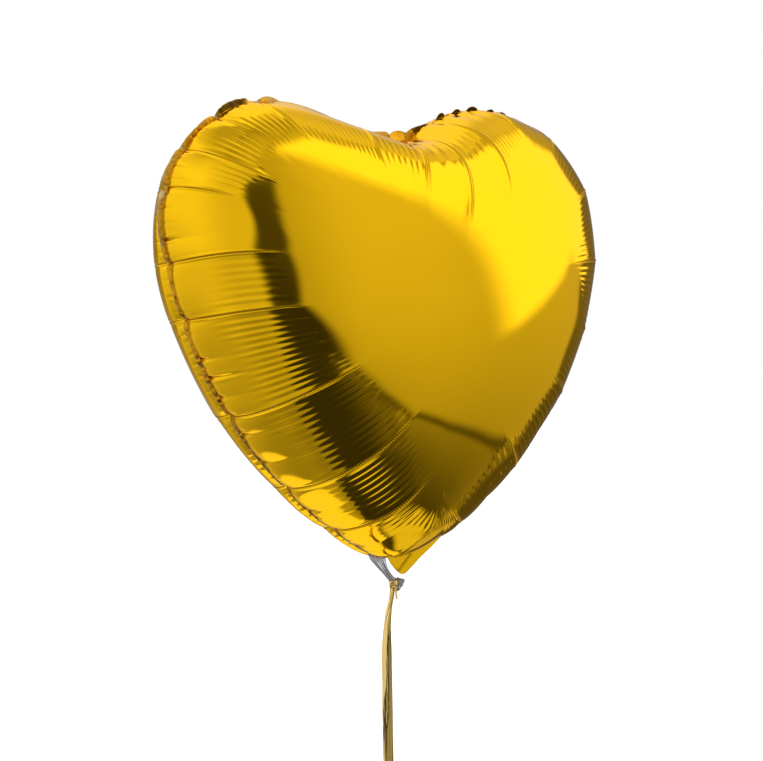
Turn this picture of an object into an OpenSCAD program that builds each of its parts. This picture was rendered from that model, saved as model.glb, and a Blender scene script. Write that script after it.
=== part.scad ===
// Heart-shaped foil balloon, inflated, tied off at the neck with a flat metallic ribbon.
// Frame: millimetres, +Z up through the heart, front panel towards -Y, +X to its right.
// The origin is the middle of the tie on the gathered neck.

/* [Heart] */
// Width of the inflated heart inside its seam
heart_w = 350; // [300:5:400]
// Radius of each upper lobe
lobe_r = 91; // [85:1:97]
// Height of the lobe centres above the heart's lower tip
lobe_z = 237; // [220:1:250]
// Radius of the long, nearly straight sides
side_r = 304; // [290:2:400]
// Radius of the rounded notch between the lobes
notch_r = 50; // [35:1:65]
// Bulge of each panel from the seam plane
bulge = 92; // [75:1:105]
// Height of the heart's lower tip above the tie
tip_z = 11; // [9.5:0.5:14]

/* [Film] */
// Thickness of each panel
film_t = 0.8; // [0.6:0.1:1.2]
// Width of the heat-sealed border outside the seam
seam_w = 5; // [4:0.5:7]
// Thickness of the heat-sealed border
seam_t = 0.8; // [0.6:0.1:1.2]

/* [Neck and valve] */
// Radius of the gathered neck inside the tie
neck_r = 2.6; // [2.2:0.1:3]
// Radius of the neck where it leaves the heart's tip
neck_top_r = 5.6; // [4.5:0.1:6]
// Thickness of each gathered neck film
neck_t = 0.7; // [0.5:0.1:0.9]
// Width of the flat self-sealing valve inside the heart
valve_w = 32; // [24:1:36]
// Height of the valve's upper end above the tie
valve_top = 130; // [100:5:150]
// Thickness of each valve film
valve_t = 0.3; // [0.2:0.05:0.35]

/* [Ribbon] */
// Width of the flat ribbon
ribbon_w = 8; // [6:0.5:9]
// Thickness of the flat ribbon
ribbon_t = 0.6; // [0.5:0.1:0.8]
// Width of the ribbon where it is gathered into the knot
ribbon_top_w = 3.4; // [3:0.1:4]
// Height of each of the two turns around the neck
wrap_h = 1.7; // [1.4:0.1:1.8]
// Radius of the ribbon's knot on the tie
knot_r = 2.3; // [2:0.1:2.6]
// Radius of the knot above the hand loop
loop_knot_r = 3.6; // [3.2:0.1:4]
// Inner radius of the hand loop
loop_r = 14; // [12:0.5:18]

/* [Hidden] */
$fn = 64;

gold = [0.87, 0.66, 0.08];
deep_gold = [0.74, 0.54, 0.07];
pale_gold = [0.86, 0.76, 0.45];
silver = [0.75, 0.76, 0.78];

// gap between bodies, and between a film and its neighbour
gap = 0.3;
// the heart's middle, from which every panel point is measured
mid_z = tip_z + lobe_z - 35;
// distance of each panel's rim from the seam plane
seam_face = seam_t / 2 + 0.05;
// steps around the heart and from its middle to the seam
around = 80;
rows = 10;
// the dome's profile: nearly flat in the middle, steep at the seam
dome_p = 2.2;
dome_q = 0.46;

// ---- the heart's outline: two lobes, two long sides and a rounded notch ----
lobe = [heart_w / 2 - lobe_r, tip_z + lobe_z];
tip = [0, tip_z];
// centre of the right side's arc: it passes through the tip and touches the lobe inside
side_reach = side_r - lobe_r;
tip_to_lobe = norm(lobe - tip);
side_along = (side_r * side_r - side_reach * side_reach + tip_to_lobe * tip_to_lobe) / (2 * tip_to_lobe);
side_off = sqrt(side_r * side_r - side_along * side_along);
lobe_dir = (lobe - tip) / tip_to_lobe;
side = tip + side_along * lobe_dir + side_off * [-lobe_dir[1], lobe_dir[0]];
notch = [0, lobe[1] + sqrt(pow(lobe_r + notch_r, 2) - lobe[0] * lobe[0])];

// angle of a point around the heart's middle, 0 at the tip and 180 at the notch
function around_angle(p) = atan2(p[0], mid_z - p[1]);
lobe_from = around_angle(side + (lobe - side) / side_reach * side_r);
lobe_to = around_angle(lobe + (notch - lobe) / (lobe_r + notch_r) * lobe_r);

// distance from the middle along direction d to a circle, on its far or its near side
function to_circle(d, c, r, far) =
    let (along = d * (c - [0, mid_z]),
         across = (c - [0, mid_z]) * (c - [0, mid_z]) - along * along)
    along + far * sqrt(r * r - across);

// distance from the middle to the seam, at an angle from 0 to 360
function seam_reach(a) =
    let (b = a > 180 ? 360 - a : a, d = [sin(b), -cos(b)])
    b < lobe_from ? to_circle(d, side, side_r, 1)
    : b < lobe_to ? to_circle(d, lobe, lobe_r, 1)
    : to_circle(d, notch, notch_r, -1);

// the dome's level lines are near-circles around the middle, drawn out towards the tip
function round_reach(a, u) = 0.426 * heart_w
    * (1 + 0.19 * u * cos(a) - 0.1 * pow(u, 2) * cos(2 * a) + 0.03 * pow(u, 3) * cos(3 * a));

// a point of the dome: a = angle, u = 0 in the middle to 1 at the seam, inset = depth under the skin
function dome_point(a, u, inset) =
    let (blend = pow(u, 4),
         reach = u * ((1 - blend) * round_reach(a, u) + blend * seam_reach(a)) * (1 - inset / seam_reach(a)),
         rise = (bulge - inset - seam_face) * pow(1 - pow(u, dome_p), dome_q))
    [reach * sin(a), -rise - seam_face, mid_z - reach * cos(a)];

// rows crowd towards the seam, where the dome is steep
function row_u(i) = 1 - pow(1 - i / rows, 1.6);

function ring_points(inset) = [for (i = [1:rows]) for (j = [0:around - 1])
    dome_point(j * 360 / around, row_u(i), inset)];

// one panel: outer skin, inner skin and the rim between them at the seam
module panel() {
    count = rows * around;
    points = concat([dome_point(0, 0, 0)], ring_points(0), [dome_point(0, 0, film_t)], ring_points(film_t));
    outer = 1;
    inner = count + 2;
    caps = [for (j = [0:around - 1]) let (k = (j + 1) % around) each
        [[0, outer + j, outer + k], [inner - 1, inner + k, inner + j]]];
    skins = [for (i = [0:rows - 2]) for (j = [0:around - 1])
        let (k = (j + 1) % around, p = i * around, q = (i + 1) * around) each
        [[outer + p + j, outer + q + j, outer + q + k], [outer + p + j, outer + q + k, outer + p + k],
         [inner + p + j, inner + q + k, inner + q + j], [inner + p + j, inner + p + k, inner + q + k]]];
    last = (rows - 1) * around;
    rim = [for (j = [0:around - 1]) let (k = (j + 1) % around) each
        [[outer + last + j, inner + last + j, inner + last + k],
         [outer + last + j, inner + last + k, outer + last + k]]];
    polyhedron(points = points, faces = concat(caps, skins, rim), convexity = 6);
}

module front_panel() {
    color(gold) panel();
}

module rear_panel() {
    color(gold) mirror([0, 1, 0]) panel();
}

// the outline in the seam plane, grown outwards
function seam_outline(grow) = [for (j = [0:2 * around - 1]) let (a = j * 180 / around)
    [(seam_reach(a) + grow) * sin(a), mid_z - (seam_reach(a) + grow) * cos(a)]];

module edge_seam() {
    color(pale_gold) rotate([90, 0, 0]) linear_extrude(seam_t, center = true) difference() {
        polygon(seam_outline(seam_w));
        polygon(seam_outline(0));
        translate([-neck_top_r - 1, 0]) square([2 * neck_top_r + 2, tip_z + 6]);
    }
}

// lower end of the gathered neck films, just under the tie
neck_low = -wrap_h - 1;

// the gathered neck: a thin tube in the tie that widens up to the heart's tip
module neck_shape(inset) {
    translate([0, 0, neck_low]) cylinder(r = neck_r - inset, h = wrap_h - neck_low);
    translate([0, 0, wrap_h])
        cylinder(r1 = neck_r - inset, r2 = neck_top_r - inset, h = tip_z - gap - wrap_h);
}

// the half of the neck on one side of the seam plane: side = -1 in front, 1 behind
module neck_half(side) {
    difference() {
        neck_shape(0);
        neck_shape(neck_t);
        translate([0, side * (0.05 - tip_z), tip_z / 2]) cube([2 * tip_z, 2 * tip_z, 4 * tip_z], center = true);
        for (end = [neck_low - 1, tip_z - gap]) translate([0, 0, end]) cylinder(r = neck_top_r - neck_t, h = 1);
    }
}

module neck_front_film() {
    color(silver) neck_half(-1);
}

module neck_rear_film() {
    color(silver) neck_half(1);
}

// one flat film of the self-sealing valve: narrow in the neck, wide inside the heart
module valve_film(side) {
    half = valve_w / 2;
    narrow = neck_r - neck_t - gap;
    widening = [tip_z + 4, tip_z + 45];
    translate([0, side * (valve_t / 2 + 0.05), 0]) rotate([90, 0, 0]) linear_extrude(valve_t, center = true)
        polygon([[-narrow, -wrap_h], [narrow, -wrap_h], [narrow, widening[0]], [half, widening[1]],
                 [half, valve_top], [-half, valve_top], [-half, widening[1]], [-narrow, widening[0]]]);
}

module valve_front_film() {
    color("whitesmoke") valve_film(-1);
}

module valve_rear_film() {
    color("gainsboro") valve_film(1);
}

// the crumpled ends of the neck films, turned out to the right under the tie
module neck_tail() {
    fold_z = neck_low - 0.8;
    fold_end = neck_r + 2.2;
    color(silver) {
        translate([0, 0, neck_low - 1.5]) cylinder(r = neck_r, h = 1.4);
        translate([0, 0, fold_z]) rotate([0, 90, 12]) cylinder(r = 0.7, h = fold_end + 0.3);
        rotate([0, 0, 12]) translate([fold_end, 0, fold_z]) rotate([0, 62, 0]) cylinder(r1 = 0.8, r2 = 3.8, h = 6.5);
    }
}

// two turns of ribbon around the gathered neck
module ribbon_wraps() {
    color(deep_gold) for (turn = [0, 1])
        translate([0, 0, turn * (wrap_h + 0.1) - wrap_h - 0.05])
            rotate_extrude() translate([neck_r + 0.1, 0]) square([1.1, wrap_h]);
}

// centre of the ribbon's knot, beside the turns at the front left
knot_turn = 40;
knot_out = neck_r + 1.2 + gap + knot_r;
knot_at = [-knot_out * sin(knot_turn), -knot_out * cos(knot_turn), -1.5];

module ribbon_knot() {
    color(deep_gold) translate(knot_at) sphere(r = knot_r);
}

module ribbon_short_end() {
    color(gold) translate(knot_at + [knot_r + 0.2, 0, 0]) rotate([0, -18, 0])
        translate([0, -ribbon_t / 2, -11]) cube([2.6, ribbon_t, 10.4]);
}

// the ribbon's route from its knot down to the hand loop's knot, offsets from the knot's centre
ribbon_route = [[0, 0, -2.8], [-1, 0, -8], [-3, 0, -16], [-4.8, 0, -26], [-5.8, 0, -36], [-6.2, 0, -46],
                [-6.4, 0, -56], [-6.4, 0, -66], [-6.5, 0, -76], [-6.6, 0, -86], [-6.7, 0, -96],
                [-6.8, 0, -106], [-6.9, 0, -116], [-7, 0, -126], [-7, 0, -132]];
route_end = ribbon_route[len(ribbon_route) - 1];
loop_knot_at = knot_at + route_end - [0, 0, loop_knot_r + gap];

// width of the ribbon along its route: gathered at the knot, then flat
function ribbon_width(z) = ribbon_top_w + (ribbon_w - ribbon_top_w) * min(1, (-2.8 - z) / 60);

// eight-sided flat section of the ribbon
function strip_section(w, t) = [for (i = [0:7]) let (a = i * 45 + 22.5)
    [w / 2 * cos(a) / cos(22.5), t / 2 * sin(a) / sin(67.5)]];

module ribbon() {
    rings = len(ribbon_route);
    points = [for (p = ribbon_route) for (s = strip_section(ribbon_width(p[2]), ribbon_t))
        knot_at + p + [s[0], s[1], 0]];
    ends = [[for (i = [0:7]) i], [for (i = [7:-1:0]) (rings - 1) * 8 + i]];
    walls = [for (r = [0:rings - 2]) for (i = [0:7]) let (k = (i + 1) % 8) each
        [[r * 8 + i, r * 8 + 8 + i, r * 8 + 8 + k], [r * 8 + i, r * 8 + 8 + k, r * 8 + k]]];
    color(gold) polyhedron(points = points, faces = concat(ends, walls));
}

module loop_knot() {
    color(deep_gold) translate(loop_knot_at) sphere(r = loop_knot_r);
}

// ribbon bent round into a teardrop whose axis lies along the ribbon's width
loop_apex = 1.38 * loop_r;
loop_at = loop_knot_at - [0, 0, loop_knot_r + gap + loop_apex + 1];

module teardrop(r, apex, width) {
    touch = acos(r / apex);
    rotate([90, 0, 90]) translate([0, 0, -width / 2]) {
        cylinder(r = r, h = width);
        linear_extrude(width) polygon([[0, 0], [r * sin(touch), r * cos(touch)], [0, apex],
                                       [-r * sin(touch), r * cos(touch)]]);
    }
}

module hand_loop() {
    color(gold) translate(loop_at) difference() {
        teardrop(loop_r + ribbon_t, loop_apex + 0.9, ribbon_w);
        teardrop(loop_r, loop_apex, ribbon_w + 2);
    }
}

front_panel();
rear_panel();
edge_seam();
neck_front_film();
neck_rear_film();
valve_front_film();
valve_rear_film();
neck_tail();
ribbon_wraps();
ribbon_knot();
ribbon_short_end();
ribbon();
loop_knot();
hand_loop();
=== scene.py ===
import math

import bpy
import numpy as np
from mathutils import Matrix, Vector


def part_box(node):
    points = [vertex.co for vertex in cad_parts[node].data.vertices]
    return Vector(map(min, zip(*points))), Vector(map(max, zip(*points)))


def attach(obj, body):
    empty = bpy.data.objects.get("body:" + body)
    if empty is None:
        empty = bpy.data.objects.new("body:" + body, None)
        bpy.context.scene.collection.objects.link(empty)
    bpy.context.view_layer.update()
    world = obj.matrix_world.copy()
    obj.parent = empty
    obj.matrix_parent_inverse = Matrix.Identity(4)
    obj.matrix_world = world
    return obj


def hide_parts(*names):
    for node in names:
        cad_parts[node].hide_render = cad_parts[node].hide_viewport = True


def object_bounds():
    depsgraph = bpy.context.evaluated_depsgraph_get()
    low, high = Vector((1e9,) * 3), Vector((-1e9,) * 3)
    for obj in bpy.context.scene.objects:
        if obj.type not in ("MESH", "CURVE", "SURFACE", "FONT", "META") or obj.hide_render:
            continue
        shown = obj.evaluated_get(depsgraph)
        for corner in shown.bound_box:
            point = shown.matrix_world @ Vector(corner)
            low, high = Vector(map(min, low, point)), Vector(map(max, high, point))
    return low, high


# A heart-shaped gold foil balloon, tied at its neck with a flat metallic ribbon.
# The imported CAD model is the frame; every piece here is in its frame, in metres.

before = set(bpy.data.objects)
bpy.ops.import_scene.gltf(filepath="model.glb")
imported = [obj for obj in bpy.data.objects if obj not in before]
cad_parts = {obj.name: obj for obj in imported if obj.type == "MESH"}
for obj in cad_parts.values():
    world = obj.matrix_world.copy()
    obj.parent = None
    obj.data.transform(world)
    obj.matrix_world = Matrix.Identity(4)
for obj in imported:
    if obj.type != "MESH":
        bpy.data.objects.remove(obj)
cad_box = [list(corner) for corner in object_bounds()]

MM = 0.001


# ---------------------------------------------------------------- sizes from the frame

panel_low, panel_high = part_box("front_panel")
HEART_W = panel_high.x - panel_low.x
TIP_Z = panel_low.z
BULGE = -panel_low.y
LOBE_R = 0.26 * HEART_W
LOBE_Z = TIP_Z + 0.677 * HEART_W
SIDE_R = 0.869 * HEART_W
NOTCH_R = 0.143 * HEART_W
MID_Z = LOBE_Z - 0.1 * HEART_W

knot_low, knot_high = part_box("ribbon_knot")
KNOT_AT = (knot_low + knot_high) / 2
KNOT_R = (knot_high.x - knot_low.x) / 2


# ---------------------------------------------------------------- camera

CAMERA_YAW = math.radians(31)
CAMERA_RISE = math.radians(-1.3)
CAMERA_ROLL = math.radians(-1.5)
CAMERA_FAR = 1.51
CAMERA_LENS = 100
# the camera looks a little below and left of the heart's middle
AIM_ABOVE_TIP = 170 * MM
AIM_LEFT = 4 * MM
AIM_DOWN = 37 * MM


def make_camera():
    target = Vector((0, 0, TIP_Z + AIM_ABOVE_TIP))
    level = math.cos(CAMERA_RISE)
    to_camera = Vector((-math.sin(CAMERA_YAW) * level, -math.cos(CAMERA_YAW) * level,
                        math.sin(CAMERA_RISE)))
    right = Vector((math.cos(CAMERA_YAW), -math.sin(CAMERA_YAW), 0))
    up = to_camera.cross(right)
    tilted_right = right * math.cos(CAMERA_ROLL) + up * math.sin(CAMERA_ROLL)
    tilted_up = up * math.cos(CAMERA_ROLL) - right * math.sin(CAMERA_ROLL)
    place = target + to_camera * CAMERA_FAR
    aim = target - tilted_right * AIM_LEFT - tilted_up * AIM_DOWN
    back = (place - aim).normalized()
    side = tilted_up.cross(back).normalized()
    data = bpy.data.cameras.new("camera")
    data.lens = CAMERA_LENS
    data.clip_start = 0.05
    camera = bpy.data.objects.new("camera", data)
    bpy.context.scene.collection.objects.link(camera)
    turn = Matrix((side, back.cross(side), back)).transposed()
    camera.matrix_world = Matrix.Translation(place) @ turn.to_4x4()
    bpy.context.scene.camera = camera


make_camera()


# ---------------------------------------------------------------- mesh helpers

def smoothstep(x, low, high):
    t = np.clip((x - low) / (high - low), 0, 1)
    return t * t * (3 - 2 * t)


def bump(x, width):
    return np.exp(-(x / width) ** 2)


def build_mesh(name, points, faces, materials, face_material=None, smooth=True):
    """A piece from points and faces; face_material gives each face's place in materials."""
    mesh = bpy.data.meshes.new(name)
    mesh.from_pydata(np.asarray(points, float).tolist(), [], faces)
    mesh.update()
    mesh.polygons.foreach_set("use_smooth", [smooth] * len(faces))
    for material in materials:
        mesh.materials.append(material)
    if face_material is not None:
        mesh.polygons.foreach_set("material_index", face_material)
    piece = bpy.data.objects.new(name, mesh)
    bpy.context.scene.collection.objects.link(piece)
    return piece


def ring_faces(first, second, count):
    """Quads between two closed rings of the same count."""
    return [(first + j, first + (j + 1) % count, second + (j + 1) % count, second + j) for j in range(count)]


def tube_faces(rings, count, capped=True):
    faces = []
    for ring in range(rings - 1):
        faces += ring_faces(ring * count, (ring + 1) * count, count)
    if capped:
        faces.append(tuple(range(count))[::-1])
        faces.append(tuple((rings - 1) * count + j for j in range(count)))
    return faces


def add_uv(mesh, name, per_vertex):
    layer = mesh.uv_layers.new(name=name)
    loop_vertex = np.empty(len(mesh.loops), np.int64)
    mesh.loops.foreach_get("vertex_index", loop_vertex)
    layer.data.foreach_set("uv", np.asarray(per_vertex, np.float32)[loop_vertex].ravel())


def add_float(mesh, name, per_vertex):
    layer = mesh.attributes.new(name, "FLOAT", "POINT")
    layer.data.foreach_set("value", np.asarray(per_vertex, np.float32).ravel())


# ---------------------------------------------------------------- materials

# the small folds that cross a long tuck, like the teeth of a zip: a bump in the shader, which also breaks up
# the painted shade along the tuck
BEAD_PITCH = 1.7 * MM


class NodeTree:
    """A short way to write shader nodes: each method adds one node and gives its output."""

    def __init__(self, tree):
        self.tree = tree
        tree.nodes.clear()

    def node(self, kind, inputs=None, **settings):
        node = self.tree.nodes.new(kind)
        for name, value in settings.items():
            setattr(node, name, value)
        for key, value in (inputs or {}).items():
            if isinstance(value, bpy.types.NodeSocket):
                self.tree.links.new(value, node.inputs[key])
            else:
                node.inputs[key].default_value = value
        return node

    def place(self):
        return self.node("ShaderNodeTexCoord").outputs["Object"]

    def flat_map(self, name):
        return self.node("ShaderNodeUVMap", uv_map=name).outputs["UV"]

    def attribute(self, name):
        return self.node("ShaderNodeAttribute", attribute_name=name).outputs["Fac"]

    def math(self, operation, *values):
        return self.node("ShaderNodeMath", dict(enumerate(values)), operation=operation).outputs[0]

    def soft_range(self, value, low, high, to_low=0.0, to_high=1.0):
        inputs = {"Value": value, "From Min": low, "From Max": high, "To Min": to_low, "To Max": to_high}
        return self.node("ShaderNodeMapRange", inputs, interpolation_type="SMOOTHSTEP").outputs["Result"]

    def mix(self, factor, low, high):
        inputs = {"Factor": factor, 6: low, 7: high}
        return self.node("ShaderNodeMix", inputs, data_type="RGBA").outputs[2]

    def noise(self, vector, scale, detail=2.0, roughness=0.5):
        inputs = {"Vector": vector, "Scale": scale, "Detail": detail, "Roughness": roughness}
        return self.node("ShaderNodeTexNoise", inputs).outputs["Fac"]

    def bump(self, height, strength, distance):
        inputs = {"Height": height, "Strength": strength, "Distance": distance}
        return self.node("ShaderNodeBump", inputs).outputs["Normal"]


def new_material(name):
    material = bpy.data.materials.new(name)
    material.use_nodes = True
    return material, NodeTree(material.node_tree)


def finish_material(nodes, settings):
    shader = nodes.node("ShaderNodeBsdfPrincipled", settings)
    nodes.node("ShaderNodeOutputMaterial", {"Surface": shader.outputs[0]})


def gold_foil():
    """Bright gold film: yellow lacquer over mirror metal, with painted shade in the folds where it tucks
    under itself.
    """
    material, nodes = new_material("gold_foil")
    place = nodes.place()
    haze = nodes.noise(place, 22.0, 3.0)
    grain = nodes.noise(place, 900.0, 2.0)
    crease_shade = nodes.attribute("crease_shade")
    film = nodes.flat_map("film")
    inwards = nodes.node("ShaderNodeSeparateXYZ", {0: film}).outputs["Y"]
    beads = nodes.math("SINE", nodes.math("MULTIPLY", inwards, 2 * math.pi / BEAD_PITCH))
    gaps = nodes.soft_range(beads, -0.6, 0.5, 0.45, 1.0)
    lacquer = nodes.mix(haze, (0.98, 0.545, 0.0, 1), (1.0, 0.575, 0.001, 1))
    # painted shade: the tucks' and pleats' folds darkened to near-black brown, lighter between the beads
    colour = nodes.mix(nodes.math("MULTIPLY", crease_shade, gaps), lacquer, (0.06, 0.035, 0.0, 1))
    roughness = nodes.soft_range(haze, 0.3, 0.75, 0.065, 0.09)
    relief = nodes.math("ADD", nodes.math("MULTIPLY", grain, 0.05), nodes.math("MULTIPLY", beads, crease_shade))
    micro = nodes.bump(relief, 0.9, 0.00016)
    finish_material(nodes, {"Base Color": colour, "Metallic": 1.0, "Roughness": roughness, "Normal": micro,
                            "Specular Tint": (1.0, 0.8, 0.4, 1), "Coat Weight": 0.14,
                            "Coat Roughness": 0.05, "Coat IOR": 1.5})
    return material


def seam_film():
    """The heat-sealed border: both films fused, paler and finely knurled, with painted shade inside its cups
    and along a line across the tab.
    """
    material, nodes = new_material("seam_border")
    place = nodes.place()
    patches = nodes.noise(place, 190.0, 3.0, 0.6)
    knurl = nodes.noise(place, 1500.0, 2.0)
    crease_shade = nodes.attribute("crease_shade")
    pale = nodes.mix(nodes.soft_range(patches, 0.38, 0.62), (0.80, 0.64, 0.30, 1), (0.92, 0.80, 0.46, 1))
    # painted shade inside the cups and along the tab's line, down to near-black brown
    colour = nodes.mix(crease_shade, pale, (0.03, 0.014, 0.001, 1))
    roughness = nodes.soft_range(patches, 0.3, 0.7, 0.2, 0.38)
    relief = nodes.bump(knurl, 0.7, 0.00014)
    finish_material(nodes, {"Base Color": colour, "Metallic": 0.9, "Roughness": roughness, "Normal": relief,
                            "Coat Weight": 0.15, "Coat Roughness": 0.15})
    return material


def silver_foil():
    """The bare silver film of the neck and its crumpled tail."""
    material, nodes = new_material("silver_film")
    place = nodes.place()
    patches = nodes.noise(place, 420.0, 3.0, 0.6)
    colour = nodes.mix(patches, (0.40, 0.40, 0.42, 1), (0.66, 0.66, 0.68, 1))
    roughness = nodes.soft_range(patches, 0.3, 0.7, 0.1, 0.24)
    relief = nodes.bump(nodes.noise(place, 900.0, 2.0), 0.35, 0.0002)
    finish_material(nodes, {"Base Color": colour, "Metallic": 1.0, "Roughness": roughness,
                            "Normal": relief})
    return material


def ribbon_foil():
    """Metallised curling ribbon: a bright champagne face, a duller reverse, fine lines along it, and painted
    shade along its lengthways fold.
    """
    material, nodes = new_material("gold_ribbon")
    along = nodes.flat_map("strip")
    lines = nodes.node("ShaderNodeMapping", {"Vector": along, "Scale": (900.0, 12.0, 1.0)}).outputs[0]
    streaks = nodes.noise(lines, 1.0, 3.0, 0.6)
    place = nodes.place()
    crinkle = nodes.noise(place, 260.0, 3.0, 0.6)
    reverse = nodes.attribute("reverse")
    crease_shade = nodes.attribute("crease_shade")
    streaked = nodes.soft_range(streaks, 0.3, 0.7)
    face = nodes.mix(streaked, (0.90, 0.60, 0.19, 1), (0.98, 0.74, 0.28, 1))
    back = nodes.mix(streaked, (0.42, 0.28, 0.065, 1), (0.56, 0.40, 0.11, 1))
    # painted shade along the ribbon's lengthways fold, mottled by the crinkle
    dark = nodes.math("MULTIPLY", crease_shade, nodes.soft_range(crinkle, 0.3, 0.5, 0.6, 1.0))
    colour = nodes.mix(dark, nodes.mix(reverse, face, back), (0.02, 0.012, 0.004, 1))
    roughness = nodes.soft_range(streaks, 0.3, 0.7, 0.08, 0.17)
    relief = nodes.bump(nodes.math("ADD", streaks, crinkle), 0.35, 0.00016)
    finish_material(nodes, {"Base Color": colour, "Metallic": 0.97, "Roughness": roughness,
                            "Normal": relief})
    return material


def valve_film():
    """Clear polyethylene of the self-sealing valve inside the heart."""
    material, nodes = new_material("valve_film")
    place = nodes.place()
    haze = nodes.noise(place, 120.0, 3.0)
    colour = nodes.mix(haze, (0.86, 0.88, 0.9, 1), (0.96, 0.97, 0.98, 1))
    roughness = nodes.soft_range(haze, 0.3, 0.7, 0.25, 0.4)
    finish_material(nodes, {"Base Color": colour, "Roughness": roughness, "Transmission Weight": 0.6})
    return material


GOLD = gold_foil()
SEAM = seam_film()
SILVER = silver_foil()
RIBBON = ribbon_foil()
CLEAR = valve_film()


# ---------------------------------------------------------------- the ribbon, a cord

# the route in part.scad, offsets from the knot's centre in millimetres
RIBBON_ROUTE = [(0, 0, -2.8), (-1, 0, -8), (-3, 0, -16), (-4.8, 0, -26), (-5.8, 0, -36), (-6.2, 0, -46),
                (-6.4, 0, -56), (-6.4, 0, -66), (-6.5, 0, -76), (-6.6, 0, -86), (-6.7, 0, -96),
                (-6.8, 0, -106), (-6.9, 0, -116), (-7, 0, -126), (-7, 0, -132)]
# this ribbon's first point instead, inside the knot
RIBBON_START = (0, 0, -1.5)
RIBBON_W = 8 * MM
RIBBON_TOP_W = 3.4 * MM
RIBBON_THICK = 0.3 * MM
# the ribbon is slightly hollow across, so it shows from the side too
RIBBON_HOLLOW = 0.6 * MM
# how deep its gathers are at a knot and along the rest
RIBBON_GATHER = 0.55 * MM
RIBBON_CRUMPLE = 0.035 * MM
# Depths below the upper knot: where the ribbon is fully wide, where the gathers fade out, where the painted
# shade along the fold sets in, and where the hollow does. Last, the length over which it narrows into the
# lower knot.
RIBBON_WIDE_AT = 50 * MM
RIBBON_GATHERED = (4 * MM, 40 * MM)
RIBBON_SHADED = (20 * MM, 40 * MM)
RIBBON_HOLLOWED = (90 * MM, 125 * MM)
RIBBON_NARROWS = 8 * MM


def smooth_route(route, steps):
    """Points at equal steps of length along the smooth curve through a route, and that length."""
    route = np.asarray(route, float)
    knots = np.concatenate([[0], np.cumsum(np.linalg.norm(np.diff(route, axis=0), axis=1))])
    slopes = np.gradient(route, knots, axis=0)
    at = np.linspace(0, knots[-1], steps)
    span = np.clip(np.searchsorted(knots, at, side="right") - 1, 0, len(knots) - 2)
    width = (knots[span + 1] - knots[span])[:, None]
    t = ((at - knots[span]) / width[:, 0])[:, None]
    start, end = route[span], route[span + 1]
    a, b = slopes[span] * width, slopes[span + 1] * width
    curve = start * (2 * t ** 3 - 3 * t ** 2 + 1) + a * (t ** 3 - 2 * t ** 2 + t)
    curve += end * (3 * t ** 2 - 2 * t ** 3) + b * (t ** 3 - t ** 2)
    return curve, np.linalg.norm(np.diff(curve, axis=0), axis=1).sum()


def shell_piece(name, outer, inner, material, reverse=None, crease_shade=None):
    """A thin closed film from its two faces, each given as rings of points along the piece."""
    rings, across = outer.shape[:2]
    loops = np.concatenate([outer, inner[:, ::-1]], axis=1)
    piece = build_mesh(name, loops.reshape(-1, 3), tube_faces(rings, 2 * across), [material])
    along = np.concatenate([[0], np.cumsum(np.linalg.norm(np.diff(outer.mean(1), axis=0), axis=1))])
    sideways = np.linspace(-0.5, 0.5, across) * RIBBON_W
    strip = np.zeros((rings, 2 * across, 2))
    strip[:, :across, 0], strip[:, across:, 0], strip[:, :, 1] = sideways, sideways[::-1], along[:, None]
    add_uv(piece.data, "strip", strip.reshape(-1, 2))
    # the ribbon's reverse side, and its painted shade, as point attributes
    for layer, values in (("reverse", reverse), ("crease_shade", crease_shade)):
        values = np.zeros((rings, across)) if values is None else values
        add_float(piece.data, layer, np.concatenate([values, values[:, ::-1]], axis=1))
    return piece


def frames_along(centres, facing):
    """Side and face directions of a strip at each ring, square to its path."""
    tangent = np.gradient(centres, axis=0)
    tangent /= np.linalg.norm(tangent, axis=1, keepdims=True)
    facing = np.broadcast_to(np.asarray(facing, float), centres.shape)
    side = facing - (facing * tangent).sum(1, keepdims=True) * tangent
    side /= np.linalg.norm(side, axis=1, keepdims=True)
    return side, np.cross(side, tangent)


def strip_piece(name, centres, sections, facing, thickness, material, reverse=None, crease_shade=None):
    """A strip along centres. sections holds each ring's points as offsets sideways and out of its face."""
    side, face = frames_along(centres, facing)
    points = centres[:, None] + sections[..., :1] * side[:, None] + sections[..., 1:] * face[:, None]
    lift = face[:, None] * thickness / 2
    return shell_piece(name, points + lift, points - lift, material, reverse, crease_shade)


def flat_section(widths, pleat, hollow=0.0, across=13):
    """Sections of a pleated strip: widths and pleat depths by ring, and how hollow it is across."""
    u = np.linspace(-0.5, 0.5, across)
    wave = np.cos(u * 2 * math.pi * 2.5) + 0.4 * np.sin(u * 2 * math.pi * 4 + 1)
    return np.stack([np.outer(widths, u), np.outer(pleat, wave) + hollow * np.cos(math.pi * u)], -1)


# How the ribbon is folded lengthways, by depth below its knot in metres: how much of its width shows its
# bright face before the fold, the direction in degrees that the bright part and the rest face, and how much
# of its width lies flat between them. The flat part faces RIBBON_FLAT_FACES.
RIBBON_FOLD = [(0, 0.72, -66, -40, 0.02), (0.03, 0.6, -66, -30, 0.04), (0.055, 0.45, -62, -16, 0.2),
               (0.07, 0.38, -60, -12, 0.26), (0.08, 0.12, -58, -10, 0.5), (0.09, 0.02, -58, -10, 0.55),
               (0.1, 0.02, -50, -8, 0.36), (0.12, 0.02, -44, -7, 0.3), (0.132, 0.02, -40, -6, 0.05)]
RIBBON_FLAT_FACES = -32


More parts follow.
